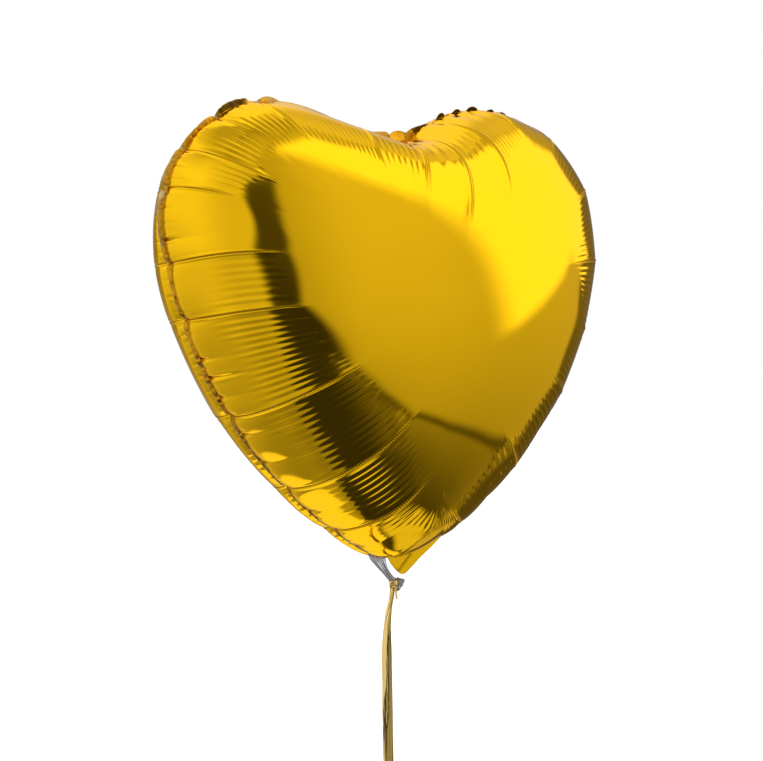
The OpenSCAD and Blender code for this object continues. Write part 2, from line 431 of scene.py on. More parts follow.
def make_ribbon():
    route = np.array([RIBBON_START] + RIBBON_ROUTE[1:]) * MM + np.array(KNOT_AT)
    centres, length = smooth_route(route, 110)
    down = np.linspace(0, length, len(centres))
    depths, *profile = np.array(RIBBON_FOLD).T
    fold, bright, dull, flat = (np.interp(down, depths, values)[:, None] for values in profile)
    u = np.linspace(0, 1, 25)
    onto_flat = smoothstep(u[None] - fold, -0.03, 0.03)
    past_fold = smoothstep(u[None] - fold - flat, -0.03, 0.03)
    faces = bright + (RIBBON_FLAT_FACES - bright) * onto_flat + (dull - RIBBON_FLAT_FACES) * past_fold
    turn = np.radians(faces)
    steps = np.stack([np.cos(turn), np.sin(turn)], -1) / len(u)
    sections = np.cumsum(steps, axis=1)
    sections -= sections.mean(1, keepdims=True)
    into_knot = smoothstep(down, length - RIBBON_NARROWS, length)
    widths = RIBBON_TOP_W + (RIBBON_W - RIBBON_TOP_W) * smoothstep(down, 0, RIBBON_WIDE_AT) * (1 - into_knot)
    gathered = np.maximum(1 - smoothstep(down, *RIBBON_GATHERED), into_knot)
    gather = RIBBON_GATHER * gathered + RIBBON_CRUMPLE
    crumple = np.sin(u[None] * 19 + 90 * down[:, None]) + 0.6 * np.sin(u[None] * 41 - 260 * down[:, None])
    sections = sections * widths[:, None, None]
    hollow = RIBBON_HOLLOW * smoothstep(down, *RIBBON_HOLLOWED) * (1 - into_knot)
    sections[..., 1] += gather[:, None] * crumple + hollow[:, None] * np.sin(np.pi * u[None])
    # painted shade along the lengthways fold, where the flat part meets the reverse, fading in below the
    # knot
    crease_shade = bump(u[None] - fold - flat, 0.045) * smoothstep(down, *RIBBON_SHADED)[:, None]
    piece = strip_piece("ribbon_strip", centres, sections, (1, 0, 0), RIBBON_THICK, RIBBON,
                        reverse=past_fold, crease_shade=crease_shade)
    return piece, centres, length


ribbon, ribbon_path, ribbon_length = make_ribbon()


# half sizes of a knot's strand by the knot's radius, and how far past that radius the knot reaches
STRAND_W = 0.4
STRAND_THICK = 0.24
KNOT_FILL = 1.08


def trefoil(name, middle, radius, tilt):
    """An overhand knot of gathered ribbon, pulled tight."""
    t = np.linspace(0, 2 * np.pi, 97)
    path = np.stack([np.sin(t) + 2 * np.sin(2 * t), -1.3 * np.sin(3 * t), np.cos(t) - 2 * np.cos(2 * t)], -1)
    path = path @ np.array(Matrix.Rotation(tilt, 3, "X") @ Matrix.Rotation(0.7, 3, "Y")) * 0.22 * radius
    middle = np.array(middle)
    centres = path + middle
    outwards = path / np.linalg.norm(path, axis=1, keepdims=True)
    side, face = frames_along(centres, np.cross(np.gradient(path, axis=0), outwards))
    around = np.linspace(0, 2 * np.pi, 14, endpoint=False)
    rim = 1 + 0.12 * np.sin(3 * around[None] + 5 * t[:, None])
    points = centres[:, None] + (np.cos(around) * rim)[..., None] * side[:, None] * STRAND_W * radius
    points = points + (np.sin(around) * rim)[..., None] * face[:, None] * STRAND_THICK * radius
    spread = points - middle
    points = middle + spread * KNOT_FILL * radius / np.abs(spread).max()
    rings, count = points.shape[:2]
    rings -= 1
    faces = []
    for ring in range(rings):
        faces += ring_faces(ring * count, (ring + 1) % rings * count, count)
    points = points[:-1].reshape(-1, 3)
    piece = build_mesh(name, points, faces, [RIBBON])
    strip = np.stack([np.tile(around * 0.3 * radius, rings), np.repeat(t[:-1] * radius, count)], -1)
    add_uv(piece.data, "strip", strip)
    add_float(piece.data, "reverse", np.repeat(0.5 + 0.5 * np.sin(2 * t[:-1]), count))
    add_float(piece.data, "crease_shade", np.zeros(len(points)))
    return piece


ribbon_knot = trefoil("ribbon_knot_tied", KNOT_AT, KNOT_R, 0.4)
loop_knot_low, loop_knot_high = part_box("loop_knot")
loop_knot_r = (loop_knot_high.x - loop_knot_low.x) / 2
loop_knot = trefoil("loop_knot_tied", (loop_knot_low + loop_knot_high) / 2, loop_knot_r, 1.1)

# how far the hand loop stays inside its box, and half the distance between its two ends at the knot
LOOP_INSET = 0.3 * MM
LOOP_APART = 0.7 * MM


def make_hand_loop():
    """The ribbon's lower end, bent round into a loop for a hand or a hook."""
    low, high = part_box("hand_loop")
    middle_x, middle_y = (low.x + high.x) / 2, (low.y + high.y) / 2
    radius = (high.y - low.y) / 2 - LOOP_INSET
    middle_z = low.z + radius + LOOP_INSET
    touch = math.acos(radius / (high.z - middle_z))
    turn = np.linspace(touch, 2 * np.pi - touch, 49)
    circle = np.stack([0 * turn, radius * np.sin(turn), radius * np.cos(turn)], -1)
    share = np.linspace(0, 1, 14, endpoint=False)[:, None]
    top_z = high.z - middle_z - 0.2 * MM
    top = np.array([[0, LOOP_APART, top_z], [0, -LOOP_APART, top_z]])
    path = np.concatenate([top[0] + (circle[0] - top[0]) * share, circle,
                           top[1] + (circle[-1] - top[1]) * share[::-1]])
    path += (middle_x, middle_y, middle_z)
    from_knot = np.minimum(np.arange(len(path)), np.arange(len(path))[::-1])
    widths = RIBBON_TOP_W + (0.94 * RIBBON_W - RIBBON_TOP_W) * smoothstep(from_knot, 0, 15)
    pleat = 0.3 * MM * (1 - smoothstep(from_knot, 0, 13)) + 0.03 * MM
    sections = flat_section(widths, pleat, RIBBON_HOLLOW)
    return strip_piece("hand_loop_strip", path, sections, (1, 0, 0), RIBBON_THICK, RIBBON)


def make_short_end():
    """The ribbon's cut end beside the knot, seen nearly edge on."""
    low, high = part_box("ribbon_short_end")
    middle_y = (low.y + high.y) / 2
    route = [(-2.0 * MM, middle_y, high.z), (-1.3 * MM, middle_y - 0.2 * MM, -3.6 * MM),
             (-1.3 * MM, middle_y + 0.1 * MM, -6.8 * MM),
             (-0.5 * MM, middle_y + 0.4 * MM, low.z + 0.6 * MM)]
    steps = 16
    path, _ = smooth_route(route, steps)
    widths = np.linspace(2.4, 3.1, steps) * MM
    sections = flat_section(widths, np.full(steps, 0.12 * MM))
    return strip_piece("short_end_strip", path, sections, (0.1, 1, 0), RIBBON_THICK, RIBBON)


# the ribbon round the neck, in millimetres: turns, radius at its start and end, and height at both
WRAP_TURNS = 2.45
WRAP_R = (3.05, 3.3)
WRAP_Z = (0.85, -0.85)
WRAP_W = 2.0
WRAP_PLEAT = 0.13


def make_wraps():
    """Nearly two and a half turns of gathered ribbon round the neck."""
    turn = np.linspace(0, 2 * np.pi * WRAP_TURNS, 150)
    share = turn / turn[-1]
    radius = (WRAP_R[0] + (WRAP_R[1] - WRAP_R[0]) * share + 0.05 * np.sin(7 * turn)) * MM
    height = (WRAP_Z[0] + (WRAP_Z[1] - WRAP_Z[0]) * share + 0.12 * np.sin(turn * 1.3)) * MM
    centres = np.stack([radius * np.sin(turn), -radius * np.cos(turn), height], -1)
    sections = flat_section(np.full(len(turn), WRAP_W * MM), np.full(len(turn), WRAP_PLEAT * MM))
    return strip_piece("ribbon_wraps_strip", centres, sections, (0, 0, 1), 0.24 * MM, RIBBON)


hand_loop = make_hand_loop()
short_end = make_short_end()
wraps = make_wraps()


# ---------------------------------------------------------------- the gathered neck, its tail, the valve

def smooth_path(route, steps):
    path, _ = smooth_route(np.array(route, float) * MM, steps)
    return path


def gathered_film(name, path, radii, depths, sweep, folds, depth_share, spin, wall, seed, points=64):
    """A gathered silver film along a path. radii and depths are its half sizes across and through, in mm."""
    random = np.random.default_rng(seed)
    rings = len(path)
    share = np.linspace(0, 1, rings)
    at = np.linspace(0, 1, len(radii))
    across, through = np.interp(share, at, radii) * MM, np.interp(share, at, depths) * MM
    deep = np.interp(share, np.linspace(0, 1, len(depth_share)), depth_share)
    angle = np.linspace(*sweep, points)
    relief = np.zeros((rings, points))
    for count in folds:
        drift = random.uniform(-1, 1) * spin
        start = random.uniform(0, 6)
        relief += np.sin(count * angle[None] + start + drift * share[:, None] * 6) / len(folds)
    relief = np.sign(relief) * np.abs(relief) ** 0.8 * deep[:, None] * 1.5
    side, face = frames_along(path, (1, 0, 0))
    faces = []
    for inset in (0, wall):
        reach = np.stack([across - inset, through - inset], -1)[:, None] * (1 + relief[..., None])
        offset = reach * np.stack([np.cos(angle), np.sin(angle)], -1)
        faces.append(path[:, None] + offset[..., :1] * side[:, None] + offset[..., 1:] * face[:, None])
    return shell_piece(name, faces[0], faces[1], SILVER)


# The neck leaves the seam at the left of the heart's tip and bends down into the tie. Its route, and its
# half sizes across and through along the route, in millimetres.
NECK_ROUTE = [(-15, 0, 25), (-13, 0, 20.6), (-11.2, 0, 16.8), (-9.6, 0, 13.4), (-7.6, 0, 10.2),
              (-5.4, 0, 7.2), (-3.4, 0, 4.6), (-1.5, 0, 2.4), (-0.4, 0, 0.6), (0, 0, -2.7)]
NECK_HALF = (6.4, 6.2, 5.4, 4.2, 3.2, 2.5, 2.1, 2.1, 2.3, 2.55)
NECK_DEEP = (0.5, 0.6, 0.9, 1.3, 1.7, 2.0, 2.1, 2.2, 2.4, 2.55)
# the crumpled ends under the tie turn up beside it
TAIL_ROUTE = [(0, 0, -2.85), (0.5, -0.5, -3.9), (1.8, -0.8, -3.9), (3.0, -0.6, -2.2), (4.0, -0.3, 0.3),
              (4.8, 0, 2.6)]
TAIL_HALF = (2.3, 2.0, 1.8, 2.3, 2.6, 2.8)

neck_path = smooth_path(NECK_ROUTE, 34)
neck_folds = dict(folds=(7, 11, 17), depth_share=(0.1, 0.2, 0.2, 0.12), spin=0.5, wall=0.16 * MM)
neck_front = gathered_film("neck_front_gathered", neck_path, NECK_HALF, NECK_DEEP, (0, -math.pi),
                           seed=4, **neck_folds)
neck_rear = gathered_film("neck_rear_gathered", neck_path, NECK_HALF, NECK_DEEP, (0, math.pi),
                          seed=6, **neck_folds)
neck_tail = gathered_film("neck_tail_crumpled", smooth_path(TAIL_ROUTE, 30), TAIL_HALF, TAIL_HALF,
                          (0, 2 * math.pi), folds=(5, 8, 13, 19), depth_share=(0.12, 0.4, 0.55, 0.75),
                          spin=1.6, wall=0.2 * MM, seed=8, points=90)


# the valve's route inside the heart, from where the neck's route starts up to its top, in millimetres
VALVE_ROUTE = [(-14.5, 0, 31), (-10, 0, 40), (-3, 0, 50), (0, 0, 60), (0, 0, 90)]
VALVE_NECK_W = 3.4
# the heights in millimetres over which it widens, and over which its two films part
VALVE_WIDENS = (26, 56)
VALVE_PARTS = (20, 60)
VALVE_PLEAT = 0.12 * MM
VALVE_THICK = 0.12 * MM


def make_valve(name, side):
    """One clear film of the self-sealing valve: narrow in the gathered neck, wide inside the heart."""
    low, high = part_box("valve_front_film")
    inside = VALVE_ROUTE + [(0, 0, high.z / MM)]
    path = smooth_path(inside[::-1] + NECK_ROUTE[:-1] + [(0, 0, low.z / MM)], 60)
    along = path[:, 2] / MM
    widths = (VALVE_NECK_W + (high.x - low.x - 0.4 * MM) / MM * smoothstep(along, *VALVE_WIDENS)) * MM
    widths = np.minimum(widths, high.x - low.x)
    sections = flat_section(widths, np.full(len(path), VALVE_PLEAT), across=21)
    sections[..., 1] += side * (0.45 * MM + 0.5 * MM * smoothstep(along, *VALVE_PARTS)[:, None])
    return strip_piece(name, path, sections, (1, 0, 0), VALVE_THICK, CLEAR)


valve_front = make_valve("valve_front_welded", 1)
valve_rear = make_valve("valve_rear_welded", -1)


# ---------------------------------------------------------------- the heart's shape

def heart_circles():
    """Centres of the side, lobe and notch arcs of the right half, as (x, z)."""
    lobe = np.array([HEART_W / 2 - LOBE_R, LOBE_Z])
    tip = np.array([0, TIP_Z])
    apart = np.linalg.norm(lobe - tip)
    toward = (lobe - tip) / apart
    inner = SIDE_R - LOBE_R
    along = (SIDE_R ** 2 - inner ** 2 + apart ** 2) / (2 * apart)
    off = math.sqrt(SIDE_R ** 2 - along ** 2)
    side = tip + along * toward + off * np.array([-toward[1], toward[0]])
    notch = np.array([0, lobe[1] + math.sqrt((LOBE_R + NOTCH_R) ** 2 - lobe[0] ** 2)])
    return side, lobe, notch


def outline_reach():
    """A function of the angle from straight down: distance from the heart's middle to its seam."""
    side, lobe, notch = heart_circles()
    middle = np.array([0, MID_Z])
    side_meets = side + (lobe - side) / (SIDE_R - LOBE_R) * SIDE_R
    notch_meets = lobe + (notch - lobe) / (LOBE_R + NOTCH_R) * LOBE_R
    first, second = (math.atan2(p[0], MID_Z - p[1]) for p in (side_meets, notch_meets))

    def reach(angle):
        turn = np.abs((angle + np.pi) % (2 * np.pi) - np.pi)
        way = np.stack([np.sin(turn), -np.cos(turn)], -1)

        def to_circle(centre, radius, far):
            offset = centre - middle
            along = way @ offset
            return along + far * np.sqrt(np.maximum(radius ** 2 - offset @ offset + along ** 2, 0))

        upper = np.where(turn < second, to_circle(lobe, LOBE_R, 1), to_circle(notch, NOTCH_R, -1))
        return np.where(turn < first, to_circle(side, SIDE_R, 1), upper)

    return reach


def disc_to_heart(samples=512, passes=120, relax=0.35):
    """Power series of the smooth map from a disc to the heart. Its radial lines meet the seam squarely."""
    reach = outline_reach()
    turn = np.arange(samples) * 2 * np.pi / samples
    order = np.fft.fftfreq(samples, 1 / samples)
    conjugate = -1j * np.sign(order)
    conjugate[samples // 2] = 0
    damping = np.exp(-(np.abs(order) / (samples / 4)) ** 4)
    angle = turn.copy()
    for _ in range(passes):
        shift = np.real(np.fft.ifft(np.fft.fft(np.log(reach(angle))) * conjugate * damping))
        angle += relax * (turn + shift - angle)
    spectrum = np.fft.fft(np.log(reach(angle))) / samples * damping
    series = 2 * spectrum[:samples // 2]
    series[0] = spectrum[0]
    return series


SERIES = disc_to_heart()


def heart_point(rho, turn):
    """Point of the flat heart, x and z, for a disc radius from 0 to 1 and a turn from straight down."""
    zeta = rho * np.exp(1j * turn)
    total = np.zeros_like(zeta)
    for term in SERIES[::-1]:
        total = total * zeta + term
    w = zeta * np.exp(total)
    return np.imag(w), MID_Z - np.real(w)


# the pillow's profile: nearly flat in the middle, steep at the seam
DOME_P = 2.2
DOME_Q = 0.46


def pillow_point(rho, turn):
    """A point of the smooth front panel, before any wrinkle."""
    x, z = heart_point(rho, turn)
    y = -BULGE * np.maximum(1 - rho ** DOME_P, 0) ** DOME_Q
    return np.stack([x, np.broadcast_to(y, x.shape), z], -1)


def seam_table():
    """Lengths along the seam, 0 at the tip and growing to the right, and the turns that they belong to."""
    turn = np.linspace(-np.pi, np.pi, 8193)
    x, z = heart_point(np.ones(1), turn)
    length = np.concatenate([[0], np.cumsum(np.hypot(np.diff(x), np.diff(z)))])
    return length - length[-1] / 2, turn


SEAM_LENGTHS, SEAM_TURNS = seam_table()
SEAM_HALF = SEAM_LENGTHS[-1]


def turn_at(length):
    wrapped = (length + SEAM_HALF) % (2 * SEAM_HALF) - SEAM_HALF
    return np.interp(wrapped, SEAM_LENGTHS, SEAM_TURNS) + (length - wrapped) / (2 * SEAM_HALF) * 2 * np.pi


# ---------------------------------------------------------------- tucks, gores and ripples

# Long tucks of the front panel, where the film folds under itself. In millimetres: place along the
# seam from the tip (left is negative), length from the seam inwards, sideways lean of the inner end.
TUCKS = [(-506, 86, 6), (-434, 66, -5), (-400, 36, -3), (-367, 75, -6), (-338, 54, -2), (-286, 88, -6),
         (-246, 92, 7), (-172, 112, 9), (-106, 108, 32), (-58, 82, 42), (-16, 34, 22),
         (56, 56, -22), (112, 80, -10), (178, 78, -4), (230, 60, 0), (286, 90, -4), (344, 60, 4),
         (394, 44, 4), (446, 48, -12), (494, 98, -30), (519, 124, 2), (536, 98, 18)]
# strength of the ripples in the gore that follows each tuck, 1 where they are plain
RIPPLES = [0.9, 1.2, 1.3, 1.1, 0.12, 0.8, 1, 1, 1, 1, 0.8,
           0.9, 1.2, 1.3, 1.3, 1.1, 0.5, 0.3, 0.8, 1.5, 1.5, 1.3]
# short pleats that start at the seam, in millimetres: place and length
SHORT_PLEATS = [(-302, 21), (-217, 22), (-203, 43), (-188, 14), (-157, 18), (-132, 15), (-82, 16),
                (-36, 12), (30, 14), (84, 16), (145, 16), (415, 12), (430, 12), (462, 14), (474, 12)]
# how deep those are, and the ranges of the small irregular ones: distance apart, length and depth
PLEAT_DEEP = 1.7
SMALL_APART = (5, 12)
SMALL_LENGTH = (5, 19)
SMALL_DEEP = (0.3, 0.9)

# In millimetres: the ripples' pitch and height, how far from the seam they start at least, how much later
# some start, and how long they take to rise and to die out. In a few gores they start nearer the seam, by a
# factor.
RIPPLE_PITCH = 4.9
RIPPLE_HEIGHT = 0.17
RIPPLE_START = 24
RIPPLE_LATER = 14
RIPPLE_RISE = 26
RIPPLE_FALL = 7
NEARER_STARTS = {1: 0.4, 2: 0.6}
# a tuck or pleat reaches this far to each side of its line, in millimetres
TUCK_REACH = 9
# the film's puff between two pinches at the seam, in millimetres: by their distance, and at most
PILLOW_RISE = 0.1
PILLOW_TOP = 2.5


class Wrinkles:
    """Where one panel's wrinkles lie. Everything is in millimetres along the seam and inwards from it."""

    def __init__(self, tucks, ripples, pleats, seed):
        self.random = np.random.default_rng(seed)
        self.places = np.array([t[0] for t in tucks], float)
        self.lengths = np.array([t[1] for t in tucks], float)
        self.leans = np.array([t[2] for t in tucks], float)
        self.ripples = np.array(ripples, float)
        self.around = 2 * SEAM_HALF / MM
        spans = np.diff(np.append(self.places, self.places[0] + self.around))
        self.spans = spans
        self.counts = np.maximum(2, np.round(spans / RIPPLE_PITCH))
        self.pleats = self.seam_pleats(pleats)
        self.pinches = np.sort(np.concatenate([self.places, [place for place, _ in pleats]]))

    def seam_pleats(self, chosen):
        """The chosen short pleats, and small irregular ones all round the seam: place, length and depth."""
        pleats = [(place, length, PLEAT_DEEP) for place, length in chosen]
        place = -self.around / 2
        while place < self.around / 2 - 6:
            place += self.random.uniform(*SMALL_APART)
            pleats.append((place, self.random.uniform(*SMALL_LENGTH), self.random.uniform(*SMALL_DEEP)))
        return pleats

    def periodic(self, at, values):
        places = np.concatenate([self.places - self.around, self.places, self.places + self.around])
        return np.interp(at, places, np.tile(values, 3))

    def pillow(self, at):
        """For places along the seam: how the film puffs between the pinches on either side."""
        before, after = self.pinches[-1:] - self.around, self.pinches[:1] + self.around
        pinches = np.concatenate([before, self.pinches, after])
        index = np.searchsorted(pinches, at, side="right") - 1
        span = pinches[index + 1] - pinches[index]
        along = (at - pinches[index]) / span
        return np.minimum(PILLOW_RISE * span, PILLOW_TOP) * np.sin(np.pi * along) ** 0.8

    def gore(self, at):
        """For places along the seam: the gore's number and how far across it they are, 0 to 1."""
        index = np.searchsorted(self.places, at, side="right") - 1
        index = np.where(index < 0, len(self.places) - 1, index)
        start = self.places[index]
        start = np.where(at < self.places[0], start - self.around, start)
        return index, (at - start) / self.spans[index]


def seam_columns(wrinkles, count):
    """Places of the grid's columns along the seam, crowded where the tucks are."""
    fine = np.linspace(-wrinkles.around / 2, wrinkles.around / 2, 40001)
    density = np.ones_like(fine)
    for place in wrinkles.places:
        density += 4.0 * bump(fine - place, 1.8)
    total = np.concatenate([[0], np.cumsum((density[1:] + density[:-1]) / 2)])
    return np.interp(np.arange(count) / count * total[-1], total, fine)


def inward_rows(outer_rows, outer_depth, inner_rows):
    """Disc radii of the grid's rows, from the seam inwards. Outer rows are even in depth along the film."""
    tau = np.linspace(0, 1, 2001)
    rho = np.maximum(1 - tau ** DOME_P, 0) ** (1 / DOME_P)
    turns = np.linspace(-np.pi, np.pi, 73)
    points = pillow_point(rho[:, None], np.broadcast_to(turns, (2001, 73)))
    depth = np.concatenate([[0], np.cumsum(np.linalg.norm(np.diff(points, axis=0), axis=2).mean(1))])
    wanted = np.linspace(0, 1, outer_rows) ** 1.12 * outer_depth
    outer = np.interp(wanted, depth, rho)
    inner = [outer[-1] * (1 - step / inner_rows) for step in range(1, inner_rows)]
    return outer, np.array(inner)


COLUMNS = 1840
OUTER_ROWS = 45
OUTER_DEPTH = 0.122
INNER_ROWS = 24


def panel_grid(wrinkles):
    """The panel's smooth points on the grid, and the film's depth from the seam, by row and column."""
    columns = seam_columns(wrinkles, COLUMNS)
    outer, inner = inward_rows(OUTER_ROWS, OUTER_DEPTH, INNER_ROWS)
    rho = np.concatenate([outer, inner])
    lean = wrinkles.periodic(columns, wrinkles.leans)
    reach = wrinkles.periodic(columns, wrinkles.lengths)
    straight = pillow_point(rho[:, None], np.broadcast_to(turn_at(columns * MM), (len(rho), COLUMNS)))
    steps = np.linalg.norm(np.diff(straight, axis=0), axis=2)
    depth = np.concatenate([np.zeros((1, COLUMNS)), np.cumsum(steps, axis=0)]) / MM
    slide = lean * np.clip(depth / reach, 0, 1.25) ** 2
    points = pillow_point(rho[:, None], turn_at((columns + slide) * MM))
    return columns, rho, depth, points


def tuck_lines(wrinkles, rho, depth, columns):
    """Where each tuck runs: its points by row."""
    at = np.array([np.interp(wrinkles.places, columns, row, period=wrinkles.around) for row in depth])
    slide = wrinkles.leans * np.clip(at / wrinkles.lengths, 0, 1.25) ** 2
    return pillow_point(rho[:, None], turn_at((wrinkles.places + slide) * MM))


def grid_normals(points):
    around = np.roll(points, -1, 1) - np.roll(points, 1, 1)
    inwards = np.gradient(points, axis=0)
    normal = np.cross(around, inwards)
    normal /= np.maximum(np.linalg.norm(normal, axis=2, keepdims=True), 1e-12)
    # outwards is away from the seam plane, towards -Y for the front panel
    flip = np.where(normal[len(normal) // 2, :, 1].mean() > 0, -1, 1)
    return normal * flip


def ripple_height(wrinkles, depth, gore, across, reach):
    """Fine washboard ripples square to the seam, between the smooth band at the seam and the plateau."""
    count = wrinkles.counts[gore]
    ripple = np.floor(across * count)
    random = np.random.default_rng(5).random(4096)
    number = (gore * 97 + ripple).astype(int) % 4096
    phase = across * count * 2 * np.pi
    nearer = np.array([NEARER_STARTS.get(place, 1.0) for place in range(len(wrinkles.places))])
    start = (RIPPLE_START + RIPPLE_LATER * random[number]) * nearer[gore]
    end = reach * (0.92 + 0.1 * random[(number + 1777) % 4096])
    strength = wrinkles.ripples[gore] * (0.65 + 0.5 * random[(number + 911) % 4096])
    near_tuck = smoothstep(across * count, 0, 0.8) * smoothstep(count - across * count, 0, 0.8)
    ramp = smoothstep(depth, start, start + RIPPLE_RISE) * (1 - smoothstep(depth, end - RIPPLE_FALL, end))
    return -RIPPLE_HEIGHT * np.cos(phase) * strength * near_tuck * ramp


def from_place(wrinkles, columns, place):
    """Distance along the seam from a place, the short way round."""
    return (columns - place + wrinkles.around / 2) % wrinkles.around - wrinkles.around / 2


def tuck_height(wrinkles, columns, depth):
    """The film folds under itself: a raised lip beside a narrow groove. Also the painted shade along its
    fold lines.
    """
    height, crease_shade = np.zeros_like(depth), np.zeros_like(depth)
    for place, length in zip(wrinkles.places, wrinkles.lengths):
        apart = from_place(wrinkles, columns, place)
        near = np.abs(apart) < TUCK_REACH
        d, e = apart[near], depth[:, near]
        taper = (1 - smoothstep(e, length - 16, length + 3)) * (0.55 + 0.45 * smoothstep(e, 0, 12))
        lip = 0.62 * bump(d - 1.0, 0.85) + 0.3 * bump(d + 1.3, 1.0) - 0.3 * bump(d, 0.4)
        height[:, near] += taper * lip
        # painted shade: a dark line on the groove and, further in, a second one that moves away beside it
        spread = 0.3 + 0.75 * smoothstep(e, 12, 0.75 * length)
        lines = bump(d - 0.1, 0.34) + 0.8 * bump(d - 0.1 + spread, 0.26) * smoothstep(e, 14, 26)
        crease_shade[:, near] = np.maximum(crease_shade[:, near], taper ** 0.6 * np.minimum(lines, 1))
    return height, crease_shade


def pleat_height(wrinkles, columns, depth):
    """Short pleats at the seam: a sharp valley with a puffy rise on its far side, and painted shade in the
    valley.
    """
    height, crease_shade = np.zeros_like(depth), np.zeros_like(depth)
    for place, length, deep in wrinkles.pleats:
        apart = from_place(wrinkles, columns, place)
        near = np.abs(apart) < TUCK_REACH
        d, e = apart[near], depth[:, near]
        taper = np.maximum(1 - e / length, 0) ** 1.2
        valley = -bump(d, 0.9) + 0.45 * bump(d - 2.0, 1.6) + 0.25 * bump(d + 2.4, 1.6)
        height[:, near] += taper * deep * valley
        # painted shade down the middle of the pleat's valley
        crease_shade[:, near] = np.maximum(crease_shade[:, near], min(deep, 1) * taper ** 0.5 * bump(d, 0.28))
    return height, crease_shade


# The seam lies in a shallow valley on the sides, since the film bulges out beside it, and on a low ridge
# over the lobes. In millimetres.
VALLEY = 3.4
VALLEY_DEPTH = 6.0
RIDGE = 1.2
# the seam is pulled in at each tuck by millimetres, and puffed out between two by a share of their distance
TUCK_PULL = 1.6
GORE_PUFF = 0.026
# how far the film between two tucks comes to the straight line between them
GORE_FLAT = 0.8


def seam_shift(wrinkles, columns, depth, outwards, belly):
    """How the film near the seam moves in the seam plane: pulled in at the tucks, puffed between them."""
    gore, across = wrinkles.gore(columns)
    span = wrinkles.spans[gore]
    from_tuck = np.minimum(across, 1 - across) * span
    pull = TUCK_PULL * bump(from_tuck, 3.2)
    puff = GORE_PUFF * span * np.sin(np.pi * across)
    over_lobe = smoothstep(outwards[:, 2], -0.14, 0.1)
    valley = VALLEY * (1 - over_lobe) - RIDGE * smoothstep(outwards[:, 2], 0.0, 0.6)
    shift = (puff - pull) * np.exp(-depth / 22) - valley * np.exp(-(depth / VALLEY_DEPTH) ** 1.5)
    return shift + belly * smoothstep(outwards[:, 2], -0.8, -0.1) * bump(depth - 26, 20)


def shape_panel(wrinkles, belly):
    columns, rho, depth, points = panel_grid(wrinkles)
    gore, across = wrinkles.gore(columns)
    reach = np.maximum(wrinkles.periodic(columns, wrinkles.lengths), 60)
    lines = tuck_lines(wrinkles, rho, depth, columns)
    following = (gore + 1) % len(wrinkles.places)
    chord = lines[:, gore] * (1 - across)[:, None] + lines[:, following] * across[:, None]
    flat = GORE_FLAT * (0.6 + 0.4 * smoothstep(depth, 0, 10))
    flat *= 1 - smoothstep(depth, 0.7 * reach, 1.3 * reach)
    points = points + (chord - points) * flat[:, :, None]
    tangent = np.roll(points[0], -1, 0) - np.roll(points[0], 1, 0)
    outwards = np.cross(tangent, (0, 1, 0))
    outwards /= np.linalg.norm(outwards, axis=1, keepdims=True)
    outwards *= np.sign((outwards * (points[0] - (0, 0, MID_Z))).sum(1).mean())
    shift = outwards[None] * seam_shift(wrinkles, columns, depth, outwards, belly)[:, :, None] * MM
    rim = points[0] + shift[0]
    normal = grid_normals(points)
    puff = wrinkles.pillow(columns) * np.exp(-(depth / 20) ** 1.5) * smoothstep(depth, 0, 7)
    tucks, tuck_shade = tuck_height(wrinkles, columns, depth)
    pleats, pleat_shade = pleat_height(wrinkles, columns, depth)
    height = ripple_height(wrinkles, depth, gore, across, reach) + tucks + pleats + puff
    points = points + normal * height[:, :, None] * MM + shift
    # the last value is the painted shade of the tucks' and pleats' folds
    return columns, depth, points, rim, outwards, np.maximum(tuck_shade, pleat_shade)


def panel_mesh(name, points, columns, depth, crease_shade, rear):
    """Triangles and quads over the grid, with fewer and fewer columns towards the middle."""
    rows = len(points)
    halves = {OUTER_ROWS: 2, OUTER_ROWS + 8: 4, OUTER_ROWS + 15: 8}
    step, start, vertices, uvs, crease_shades, faces = 1, 0, [], [], [], []
    previous = None
    for row in range(rows):
        finer = step
        step = halves.get(row, step)
        ring = points[row, ::step]
        count = len(ring)
        vertices.append(ring)
        uvs.append(np.stack([columns[::step], depth[row, ::step]], 1))
        crease_shades.append(crease_shade[row, ::step])
        if previous is not None and finer == step:
            faces += ring_faces(previous, start, count)
        elif previous is not None:
            fine = 2 * count
            for j in range(count):
                a, b, c = previous + 2 * j, previous + 2 * j + 1, previous + (2 * j + 2) % fine
                p, q = start + j, start + (j + 1) % count
                faces += [(a, b, p), (b, q, p), (b, c, q)]
        previous = start
        start += count
    vertices.append(points[-1].mean(0)[None])
    uvs.append(np.array([[0, depth[-1].mean()]]))
    crease_shades.append(np.zeros(1))
    faces += [(previous + j, previous + (j + 1) % count, start) for j in range(count)]
    vertices = np.concatenate(vertices)
    if rear:
        vertices = vertices * (1, -1, 1)
        faces = [face[::-1] for face in faces]
    piece = build_mesh(name, vertices, faces, [GOLD])
    add_uv(piece.data, "film", np.concatenate(uvs) * MM)
    # painted shade in the folds, as a point attribute that the gold film darkens by
    add_float(piece.data, "crease_shade", np.concatenate(crease_shades))
    return piece


# the back's film bulges this much further beside the seam, in millimetres
REAR_BELLY = 2.5

front_wrinkles = Wrinkles(TUCKS, RIPPLES, SHORT_PLEATS, 3)
# the last value returned is the painted shade of the front's folds
columns, depth, front_points, rim, seam_out, front_crease_shade = shape_panel(front_wrinkles, 0.0)
front_panel = panel_mesh("front_panel_film", front_points, columns, depth, front_crease_shade, False)


def rear_tucks():
    """The back's tucks start where the front's do, since the seam folds there, but run their own way."""
    random = np.random.default_rng(23)
    return [(place, length * random.uniform(0.75, 1.15), lean * random.uniform(0.4, 1.2))
            for place, length, lean in TUCKS]


rear_wrinkles = Wrinkles(rear_tucks(), np.roll(RIPPLES, 3), [], 9)
